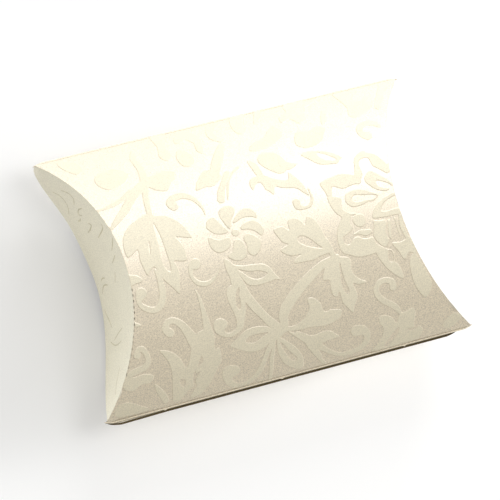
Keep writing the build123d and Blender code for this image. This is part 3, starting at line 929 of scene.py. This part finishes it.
def torn(y):
    """1 where a short cut of the left crease has torn open, 0 elsewhere."""
    return (y > TORN_SCORE[0]) & (y < TORN_SCORE[1]) & (np.sin(y * 2 * np.pi / TORN_PITCH) > 0)


def panel_border(worn=False):
    """A curved panel's outline, how far its rim is cut under, and how many points each side has."""
    y = np.linspace(-FRONT_SCORE, REAR_SCORE, int((FRONT_SCORE + REAR_SCORE) / BORDER_STEP) + 1)
    reach = HALF_LENGTH - crown(y) - CREASE_GAP / 2
    s = across(y)
    shares = np.linspace(-1, 1, int(2 * HALF_LENGTH / BORDER_STEP) + 1)[1:-1]
    front_edge = np.stack([shares * reach[0], np.full(len(shares), s[0])], axis=1)
    right_edge = np.stack([reach, s], axis=1)
    rear_edge = np.stack([-shares * reach[-1], np.full(len(shares), s[-1])], axis=1)
    left_edge = np.stack([worn * (TORN_GAPE * torn(y) + scuff(y)) - reach, s], axis=1)[::-1]
    sides = (front_edge, right_edge, rear_edge, left_edge)
    counts = [len(side) for side in sides]
    return np.vstack(sides), np.repeat((0.0, CARD, 0.0, CARD), counts), counts


def upper_card(materials):
    """The upper panel."""
    border, undercut, _ = panel_border(worn=True)
    return card_sheet("upper_card", border, on_upper, (0, 0, 1), ornament, RELIEF, undercut, materials)


def lower_card(materials):
    """The lower panel. Its cut edge springs a little away from the front fold, and shows below it; in
    front, its rim is painted dark brown as shade.
    """
    border, undercut, counts = panel_border()
    front = border[: counts[0]]
    toward_left = np.clip((PEEK_LENGTH - HALF_LENGTH - front[:, 0]) / PEEK_LENGTH, 0, 1)
    bare = np.where(front[:, 0] < 0, *BARE_ENDS)
    kept = np.sqrt(np.clip((HALF_LENGTH - bare - np.abs(front[:, 0])) / LIP_TAPER, 0, 1))
    lip = LOWER_CUT - FRONT_SCORE + LOWER_CUT_PEEK * toward_left
    front[:, 1] -= lip * kept * CROWN_RADIUS / AXIS_DEPTH
    undercut[: counts[0]] = CUT_SLANT * kept

    def turned(x, y):
        return ornament(-x, -y)

    piece = card_sheet("lower_card", border, on_lower, (0, 0, -1), turned, RELIEF, undercut, materials)
    # The front rim is painted dark brown: painted shade of the slit and of the contact shadow under the
    # front fold.
    for polygon in piece.data.polygons:
        if polygon.material_index == RIM and polygon.center.y < -SHADE_PAINTED_PAST * MM:
            polygon.material_index = PAINTED_SHADE_RIM
    return piece


def flap_border(crease_edge, free):
    """A flap's outline, from its curved crease and its free edge, and how far its rim is cut under."""
    count = int((free[0, 0] - free[-1, 0]) / BORDER_STEP)
    y = np.linspace(free[-1, 0], free[0, 0], count + 1)
    crease = np.stack([y, crease_edge(y)], axis=1)
    border = np.vstack([crease, even_steps(free, False, BORDER_STEP)])
    undercut = np.zeros(len(border))
    undercut[: len(y)] = CARD
    onward = np.roll(border, -1, axis=0)
    if (border[:, 0] * onward[:, 1] - border[:, 1] * onward[:, 0]).sum() < 0:
        border, undercut = border[::-1].copy(), undercut[::-1].copy()
    return border, undercut


def flap_place(lean, bulge, end):
    """Where a point of a flap lies: across the end, up the flap, and out of its face."""
    turn_cos, turn_sin = cos(lean), sin(lean)

    def place(y, w, height):
        slope = -bulge * y / np.sqrt(CROWN_RADIUS**2 - y**2)
        length = np.sqrt(1 + slope**2)
        u = bulge * crown(y) - height / length
        y = y + height * slope / length
        x = -HALF_LENGTH + u * turn_cos + w * turn_sin
        return end * -x, y, MIDDLE - u * turn_sin + w * turn_cos

    return place


def outer_flap(name, end, materials):
    """Flap hinged on the upper curved crease, standing slightly open."""
    climb = cos(OUTER_LEAN) + sin(OUTER_LEAN)
    bulge = cos(OUTER_LEAN) - sin(OUTER_LEAN)

    def crease_edge(y):
        return crown(y) * climb - CREASE_GAP + scuff(y) - TORN_GAPE * torn(y)

    def pattern(y, w):
        return flap_pattern(-end * y, w)

    border, undercut = flap_border(crease_edge, rounded_path(OUTER_EDGE, False))
    place = flap_place(OUTER_LEAN, bulge, end)
    return card_sheet(name, border, place, (end, 0, 0), pattern, FLAP_RELIEF, undercut, materials)


def inner_flap(name, end, materials):
    """Flap hinged on the lower curved crease, tucked behind the outer one."""
    climb = cos(INNER_LEAN) - sin(INNER_LEAN)
    bulge = cos(INNER_LEAN) + sin(INNER_LEAN)
    turns = np.linspace(0, np.pi / 2, CORNER_POINTS)
    corner_y = INNER_HALF_SPAN - INNER_CORNER * (1 - np.cos(turns))
    corner_w = INNER_CLIMB - INNER_CORNER * (1 - np.sin(turns))
    right = np.stack([corner_y, corner_w], axis=1)

    def crease_edge(y):
        return CREASE_GAP - crown(y) * climb

    def pattern(y, w):
        return flap_pattern(end * y, -w)

    border, undercut = flap_border(crease_edge, np.vstack([right, right[::-1] * (-1, 1)]))
    place = flap_place(INNER_LEAN, bulge, end)
    return card_sheet(name, border, place, (end, 0, 0), pattern, FLAP_RELIEF, undercut, materials)


def fold_strip(name, section, materials, nicks=()):
    """A straight fold, swept along the box between the two curved creases from a closed section."""
    reach = HALF_LENGTH - np.abs(section[:, 1] - MIDDLE) - CREASE_GAP / 2
    stations = int(2 * HALF_LENGTH / BORDER_STEP)
    shares = np.linspace(-1, 1, stations + 1)
    vertices = np.vstack([np.stack([share * reach, *section.T], axis=1) for share in shares])
    kept = np.sqrt(np.clip((HALF_LENGTH - np.abs(vertices[:, 0])) / END_TAPER, 0, 1))
    foot = np.sign(vertices[:, 1]) * (FRONT_SCORE - END_DEPTH)
    vertices[:, 1] = foot + (vertices[:, 1] - foot) * kept
    outermost = vertices[:, 1] < -FRONT_SCORE - NICK_FROM
    for at in nicks:
        rise = NICK_RISE * np.clip(1 - np.abs(vertices[:, 0] - at) / NICK_HALF, 0, 1)
        vertices[:, 1] -= rise * outermost
    count = len(section)
    faces = [tuple(range(count))[::-1]]
    for k in range(stations):
        for i in range(count):
            n = (i + 1) % count
            faces.append((k * count + i, k * count + n, (k + 1) * count + n, (k + 1) * count + i))
    faces.append(tuple(stations * count + i for i in range(count)))
    piece = make_piece(name, vertices, faces, [FACE] * len(faces), np.zeros(len(vertices)), materials)
    piece.select_set(True)
    bpy.ops.object.mode_set(mode="EDIT")
    bpy.ops.mesh.select_all(action="SELECT")
    bpy.ops.mesh.normals_make_consistent(inside=False)
    bpy.ops.object.mode_set(mode="OBJECT")
    piece.select_set(False)
    return piece


def bend(start, control, end, points):
    """Points along a rounded turn from start to end, pulled towards control."""
    t = np.linspace(0, 1, points)[:, None]
    start, control, end = (np.array(p, float) for p in (start, control, end))
    return (1 - t) ** 2 * start + 2 * t * (1 - t) * control + t**2 * end


def face_point(y, drop, upper=True):
    """A point in the Y-Z section, drop under a panel's face."""
    radius = CROWN_RADIUS - drop
    z = sqrt(radius**2 - y**2) - AXIS_DEPTH
    return (y, MIDDLE + z) if upper else (y, MIDDLE - z)


def rear_bead(materials):
    """The rear fold, from the upper panel's score round to the lower one's."""
    y, wall = REAR_SCORE + BEAD_LAP, REAR_SCORE - REAR_BEAD_WALL
    middle, hollow = (2 * REAR_LINE - REAR_SCORE, MIDDLE), (REAR_LINE - REAR_BEAD_HOLLOW, MIDDLE)
    outer = bend(face_point(y, BEAD_DROP), middle, face_point(y, BEAD_DROP, False), REAR_TURN_POINTS)
    inner = bend(face_point(wall, CARD, False), hollow, face_point(wall, CARD), INNER_TURN_POINTS)
    return fold_strip("rear_fold_bead", np.vstack([outer, inner]), materials)


def front_bead(materials):
    """The front fold, from the upper panel's score down to the foot of the turned-in card."""
    start = face_point(-FRONT_SCORE - BEAD_LAP, BEAD_DROP)
    foot = (-FRONT_SCORE, MIDDLE - FOLD_FOOT)
    outer = bend(start, (FRONT_SCORE - 2 * FRONT_LINE, MIDDLE), foot, FRONT_TURN_POINTS)
    inside = [(inwards - FRONT_SCORE, MIDDLE + up) for inwards, up in FRONT_BEAD_INSIDE]
    inner = bend(*inside, INNER_TURN_POINTS)
    return fold_strip("front_fold_bead", np.vstack([outer, inner]), materials, NICKS)


def linear(red, green, blue):
    """A colour written as on a screen, 0 to 255, as the renderer takes it."""
    shares = (red / 255, green / 255, blue / 255)
    return tuple(c / 12.92 if c <= 0.04045 else ((c + 0.055) / 1.055) ** 2.4 for c in shares) + (1.0,)


# The card's finishes: its pearly ground, its matte raised pattern, and the flaps.
GROUND = linear(240, 226, 198)
MOTIF = linear(243, 233, 205)
# The flaps' faint sunk lines are the pattern's pearly ground, made much darker by painted shade of their
# grooves.
FLAP_LINE_SHADED = linear(212, 202, 168)
FLAP_FACE = linear(243, 237, 217)
GROUND_METAL, MOTIF_METAL = 0.15, 0.0
GROUND_ROUGH, MOTIF_ROUGH = 0.5, 0.6
GROUND_COAT, MOTIF_COAT = 1.0, 0.15
GROUND_CONTRAST, MOTIF_CONTRAST = 1.25, 0.65
COAT_ROUGH, COAT_IOR = 0.47, 1.8
FACE_TOOTH = (0.35, 0.02 * MM)  # strength and depth of the bumps
PLAIN_TOOTH = (0.4, 0.03 * MM)

# The card's grain.
GRAIN_SIZE = 0.27 * MM
GRAIN_DETAIL, CLOUD_DETAIL = 2.5, 3.0
GRAIN_ROUGH = 0.62
CLOUD_SCALE = 0.05  # the clouds are twenty times as large as the grain
NOISE_SPAN = (0.3, 0.7)  # most of the noise lies between these
CLOUD_SHADES = (0.985, 1.015)
MIX_SOCKETS = {"FLOAT": (0, 2, 3, 0), "RGBA": (0, 6, 7, 2)}  # share, one, other and result


def feed(tree, value, socket):
    """Link a socket to another one, or give it a plain value."""
    if isinstance(value, bpy.types.NodeSocket):
        tree.links.new(value, socket)
    else:
        socket.default_value = value


def worked(tree, operation, *values):
    """Work a sum on sockets or numbers."""
    step = tree.nodes.new("ShaderNodeMath")
    step.operation = operation
    for value, socket in zip(values, step.inputs):
        feed(tree, value, socket)
    return step.outputs[0]


def mixed(tree, kind, share, one, other, blend="MIX"):
    """Mix two colours or numbers by a share, which is a socket or a number."""
    mix = tree.nodes.new("ShaderNodeMix")
    mix.data_type = kind
    mix.blend_type = blend
    *taken, given = MIX_SOCKETS[kind]
    for place, value in zip(taken, (share, one, other)):
        feed(tree, value, mix.inputs[place])
    return mix.outputs[given]


def mixed_shaders(tree, share, one, other):
    """Mix two shaders by a share, which is a socket."""
    mix = tree.nodes.new("ShaderNodeMixShader")
    for value, socket in zip((share, one.outputs[0], other.outputs[0]), mix.inputs):
        tree.links.new(value, socket)
    return mix.outputs[0]


def remapped(tree, value, span, new_span):
    """Stretch a span of values to a new one."""
    stretch = tree.nodes.new("ShaderNodeMapRange")
    for name, number in zip(("From Min", "From Max", "To Min", "To Max"), span + new_span):
        stretch.inputs[name].default_value = number
    tree.links.new(value, stretch.inputs["Value"])
    return stretch.outputs[0]


def paper_grain_group():
    """Fine grain and slow clouding of coated card, from a place on the piece."""
    group = bpy.data.node_groups.new("paper_grain", "ShaderNodeTree")
    group.interface.new_socket("Place", in_out="INPUT", socket_type="NodeSocketVector")
    group.interface.new_socket("Grain Size", in_out="INPUT", socket_type="NodeSocketFloat")
    taken, given = group.nodes.new("NodeGroupInput"), group.nodes.new("NodeGroupOutput")
    fine = worked(group, "DIVIDE", 1.0, taken.outputs["Grain Size"])
    slow = worked(group, "MULTIPLY", fine, CLOUD_SCALE)
    for name, scale, detail in (("Grain", fine, GRAIN_DETAIL), ("Clouds", slow, CLOUD_DETAIL)):
        group.interface.new_socket(name, in_out="OUTPUT", socket_type="NodeSocketFloat")
        noise = group.nodes.new("ShaderNodeTexNoise")
        noise.inputs["Detail"].default_value = detail
        noise.inputs["Roughness"].default_value = GRAIN_ROUGH
        group.links.new(taken.outputs["Place"], noise.inputs["Vector"])
        group.links.new(scale, noise.inputs["Scale"])
        group.links.new(noise.outputs["Fac"], given.inputs[name])
    return group


paper_grain = paper_grain_group()


def new_material(name, grain_size, stretch=None):
    """A material with its tree, its shader, and its grain, which follows the piece's own place."""
    material = bpy.data.materials.new(name)
    material.use_nodes = True
    tree = material.node_tree
    place = tree.nodes.new("ShaderNodeTexCoord").outputs["Object"]
    if stretch:
        mapping = tree.nodes.new("ShaderNodeMapping")
        mapping.inputs["Scale"].default_value = stretch
        tree.links.new(place, mapping.inputs["Vector"])
        place = mapping.outputs[0]
    grain = tree.nodes.new("ShaderNodeGroup")
    grain.node_tree = paper_grain
    grain.inputs["Grain Size"].default_value = grain_size
    tree.links.new(place, grain.inputs["Place"])
    return material, tree, tree.nodes["Principled BSDF"], grain


def add_tooth(tree, grain, shader, strength, depth):
    """Let the grain show as small bumps."""
    bump = tree.nodes.new("ShaderNodeBump")
    bump.inputs["Strength"].default_value = strength
    bump.inputs["Distance"].default_value = depth
    tree.links.new(grain.outputs["Grain"], bump.inputs["Height"])
    tree.links.new(bump.outputs["Normal"], shader.inputs["Normal"])


def card_material(name, ground, motif):
    """Pearly card: a satin metallic ground, and a matte raised pattern."""
    material, tree, shader, grain = new_material(name, GRAIN_SIZE)
    mask = tree.nodes.new("ShaderNodeAttribute")
    mask.attribute_name = "raised"
    raised = mask.outputs["Fac"]
    contrast = mixed(tree, "FLOAT", raised, GROUND_CONTRAST, MOTIF_CONTRAST)
    centred = worked(tree, "SUBTRACT", grain.outputs["Grain"], 0.5)
    shade = worked(tree, "MULTIPLY_ADD", centred, contrast, 1.0)
    clouds = remapped(tree, grain.outputs["Clouds"], NOISE_SPAN, CLOUD_SHADES)
    product = worked(tree, "MULTIPLY", shade, clouds)
    grey = tree.nodes.new("ShaderNodeCombineColor")
    for channel in grey.inputs:
        tree.links.new(product, channel)
    colour = mixed(tree, "RGBA", raised, ground, motif)
    finish = {
        "Base Color": mixed(tree, "RGBA", 1.0, colour, grey.outputs[0], "MULTIPLY"),
        "Metallic": mixed(tree, "FLOAT", raised, GROUND_METAL, MOTIF_METAL),
        "Roughness": mixed(tree, "FLOAT", raised, GROUND_ROUGH, MOTIF_ROUGH),
        "Coat Weight": mixed(tree, "FLOAT", raised, GROUND_COAT, MOTIF_COAT),
        "Coat Roughness": COAT_ROUGH,
        "Coat IOR": COAT_IOR,
    }
    for socket, value in finish.items():
        feed(tree, value, shader.inputs[socket])
    add_tooth(tree, grain, shader, *FACE_TOOTH)
    return material


def plain_material(name, colour, rough, contrast, grain_size, stretch=None):
    """Card without the pattern: its lining, its cut edges or its glue, or a cut edge painted dark as
    shade.
    """
    material, tree, shader, grain = new_material(name, grain_size, stretch)
    darker = tuple(c * (1 - contrast) for c in colour[:3]) + (1.0,)
    share = remapped(tree, grain.outputs["Grain"], NOISE_SPAN, (0.0, 1.0))
    tree.links.new(mixed(tree, "RGBA", share, darker, colour), shader.inputs["Base Color"])
    shader.inputs["Roughness"].default_value = rough
    add_tooth(tree, grain, shader, *PLAIN_TOOTH)
    return material


panel_card = card_material("pearly_panel_card", GROUND, MOTIF)
flap_card = card_material("matte_flap_card", FLAP_LINE_SHADED, FLAP_FACE)
fold_card = card_material("creased_card", GROUND, MOTIF)
cut_card = plain_material(
    "cut_card_edge", linear(250, 244, 228),
    rough=0.75, contrast=0.12, grain_size=0.12 * MM, stretch=(1, 1, 3),
)
# Painted shade: a dark brown that stands for the shadow in the slit and at the contact under the front
# fold.
contact_shade_card = plain_material(
    "cut_edge_painted_shade", linear(88, 73, 42),
    rough=0.85, contrast=0.3, grain_size=0.2 * MM,
)
lining_card = plain_material(
    "card_lining", linear(240, 233, 214),
    rough=0.8, contrast=0.05, grain_size=0.35 * MM,
)
dried_glue = plain_material(
    "dried_glue", linear(226, 206, 160),
    rough=0.35, contrast=0.1, grain_size=0.6 * MM,
)

# The pieces, and the solids whose looks they take over.
panel_finishes = [panel_card, cut_card, lining_card]
upper = upper_card(panel_finishes)
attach(upper, "sleeve")
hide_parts("top_panel")

lower = lower_card(panel_finishes + [contact_shade_card])
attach(lower, "sleeve")
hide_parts("bottom_panel")

front_fold = front_bead([fold_card])
for bead, node in ((rear_bead([fold_card]), "rear_fold"), (front_fold, "front_fold")):
    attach(bead, "sleeve")
    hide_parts(node)

ENDS = {"left": -1, "right": 1}
flap_finishes = [flap_card, cut_card, lining_card]
outer_flaps = []
for side, end in ENDS.items():
    for kind, build, up in (("outer", outer_flap, 1), ("inner", inner_flap, -1)):
        flap = build(f"{side}_{kind}_flap_card", end, flap_finishes)
        if kind == "outer":
            outer_flaps.append(flap)
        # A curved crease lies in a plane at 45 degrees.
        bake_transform(flap)
        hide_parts(f"{side}_{kind}_flap")

for node, material in (("glue_tab", lining_card), ("glue_line", dried_glue)):
    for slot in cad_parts[node].material_slots:
        slot.material = material

# The floor.
FLOOR_SIZE = 3.0
FLOOR_COLOUR = linear(250, 250, 250)
GLOW_COLOUR = linear(251, 251, 250)
FLOOR_GLOW = 0.34


def pale_floor():
    """A pale sheet. The camera sees it a little lighter than it is, so the box's shadow stays soft."""
    bpy.ops.mesh.primitive_plane_add(size=FLOOR_SIZE, location=(0, 0, 0))
    sheet = bpy.context.object
    sheet.name = "floor"
    paper = bpy.data.materials.new("pale_floor")
    paper.use_nodes = True
    tree = paper.node_tree
    shader = tree.nodes["Principled BSDF"]
    shader.inputs["Base Color"].default_value = FLOOR_COLOUR
    shader.inputs["Roughness"].default_value = 0.9
    shader.inputs["Specular IOR Level"].default_value = 0.0
    glow, seen = tree.nodes.new("ShaderNodeEmission"), tree.nodes.new("ShaderNodeLightPath")
    glow.inputs["Color"].default_value = GLOW_COLOUR
    share = worked(tree, "MULTIPLY", seen.outputs["Is Camera Ray"], FLOOR_GLOW)
    both = mixed_shaders(tree, share, shader, glow)
    tree.links.new(both, tree.nodes["Material Output"].inputs["Surface"])
    sheet.data.materials.append(paper)
    return sheet


floor = pale_floor()

# The light. A lamp has its share of full white, colour, direction, distance, width and what it lights.
AMBIENT = (0.4, 0.395, 0.375)
LAMPS = {
    "box_lamp": (0.77, (0.98, 1.0, 1.07), (0.38, 0.51, 0.77), 0.6, 0.45, "box"),
    "box_back": (0.26, (0.93, 1.0, 1.08), (0.2, 0.95, 0.25), 0.9, 0.7, "box"),
    "box_front": (0.035, (1.0, 0.99, 0.96), (0.55, -0.75, 0.35), 0.9, 0.8, "box"),
    "flap_fill": (0.42, (0.98, 1.0, 0.97), (-0.8, 0.55, 0.2), 0.9, 0.8, "flaps"),
    "fold_fill": (0.2, (0.97, 1.0, 0.95), (-0.2, -0.9, 0.3), 0.9, 0.8, "fold"),
    "floor_low": (2.5, (0.99, 1.0, 1.03), (0.99, 0.0, 0.139), 2.0, 0.75, "floor"),
    "floor_back": (0.42, (0.98, 1.0, 1.02), (0.457, 0.791, 0.407), 2.0, 1.0, "floor"),
    "floor_top": (0.24, (1.0, 0.99, 0.98), (0.42, -0.1, 0.9), 2.0, 0.8, "floor"),
}
LIT_PIECES = {"box": [floor], "floor": [floor], "flaps": outer_flaps, "fold": [front_fold]}


def light_all_round():
    """Even light from all round. The camera sees white behind the floor."""
    world = bpy.data.worlds.new("studio")
    bpy.context.scene.world = world
    world.use_nodes = True
    tree = world.node_tree
    white, even = tree.nodes["Background"], tree.nodes.new("ShaderNodeBackground")
    white.inputs["Color"].default_value = (1, 1, 1, 1)
    even.inputs["Color"].default_value = AMBIENT + (1,)
    even.inputs["Strength"].default_value = 1.0
    seen = tree.nodes.new("ShaderNodeLightPath")
    both = mixed_shaders(tree, seen.outputs["Is Camera Ray"], even, white)
    tree.links.new(both, tree.nodes["World Output"].inputs[0])


def add_lamp(name, share, colour, toward, distance, size, lights):
    """A round soft lamp. Its share is of full white on a surface that faces it, at the middle of the box.
    The lamps of the box light all but the floor, and the others only their own pieces."""
    lamp = bpy.data.lights.new(name, "AREA")
    lamp.shape = "DISK"
    lamp.size = size
    lamp.energy = share * np.pi**2 * distance**2
    lamp.color = colour
    key = bpy.data.objects.new(name, lamp)
    bpy.context.scene.collection.objects.link(key)
    toward = Vector(toward).normalized()
    key.location = Vector((0, 0, MIDDLE * MM)) + toward * distance
    key.rotation_euler = toward.to_track_quat("Z", "Y").to_euler()
    reach = bpy.data.collections.new(f"{name}_reach")
    for piece in LIT_PIECES[lights]:
        reach.objects.link(piece)
    for listed in reach.collection_objects:
        listed.light_linking.link_state = "EXCLUDE" if lights == "box" else "INCLUDE"
    key.light_linking.receiver_collection = reach


light_all_round()
for name, settings in LAMPS.items():
    add_lamp(name, *settings)

# The camera, at the photograph's place, turn and angle.
CAMERA_AT = Vector((-129.08, -91.45, 568.41)) * MM
CAMERA_RIGHT = Vector((0.9450, -0.2781, 0.1718))
CAMERA_AHEAD = Vector((0.2214, 0.1575, -0.9624))
CAMERA_LENS = 172.74
CAMERA_SENSOR = 36.0


def place_camera():
    """Aim the scene's camera."""
    view = bpy.data.cameras.new("camera")
    view.lens = CAMERA_LENS
    view.sensor_width = CAMERA_SENSOR
    camera = bpy.data.objects.new("camera", view)
    bpy.context.scene.collection.objects.link(camera)
    back = -CAMERA_AHEAD.normalized()
    right = (CAMERA_RIGHT - CAMERA_RIGHT.dot(back) * back).normalized()
    turn = Matrix((right, back.cross(right), back)).transposed()
    camera.matrix_world = Matrix.Translation(CAMERA_AT) @ turn.to_4x4()
    bpy.context.scene.camera = camera


place_camera()
bpy.context.scene.view_settings.view_transform = "Standard"
